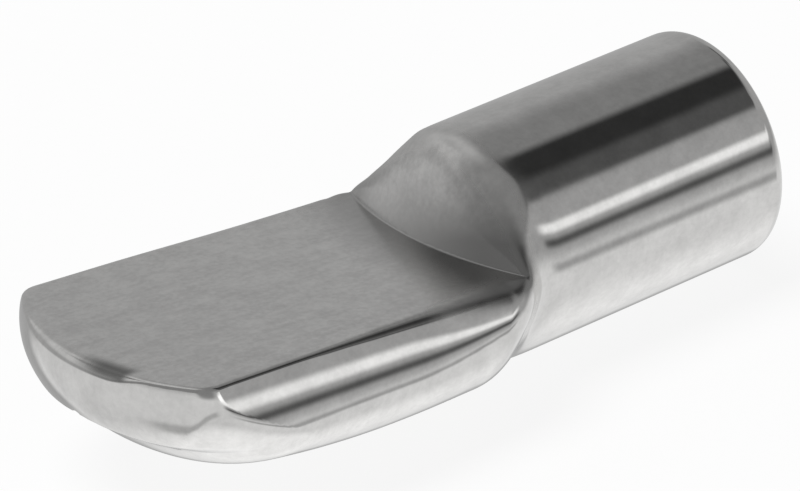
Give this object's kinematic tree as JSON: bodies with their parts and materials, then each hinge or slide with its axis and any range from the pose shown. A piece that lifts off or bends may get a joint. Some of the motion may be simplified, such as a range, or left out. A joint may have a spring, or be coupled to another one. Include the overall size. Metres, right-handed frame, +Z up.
{
  "type": "shelf support pin",
  "caption": "Spoon-type shelf support pin: a round metal shank that pushes into a bored hole, forged out into a flat-topped spoon that carries a shelf.",
  "frame": {"origin": "on the shank's axis, where the full round shank meets the shoulder", "axes": "+X along the shank to its free end, -X along the spoon to its tip, +Z up, out of the shelf face"},
  "size_m": [0.0206, 0.0092, 0.0064],
  "materials": {
    "nickel_plate": "bright nickel plate over steel, softly polished"
  },
  "bodies": {
    "root": {"support_pin": "nickel_plate"}
  },
  "joints": []
}
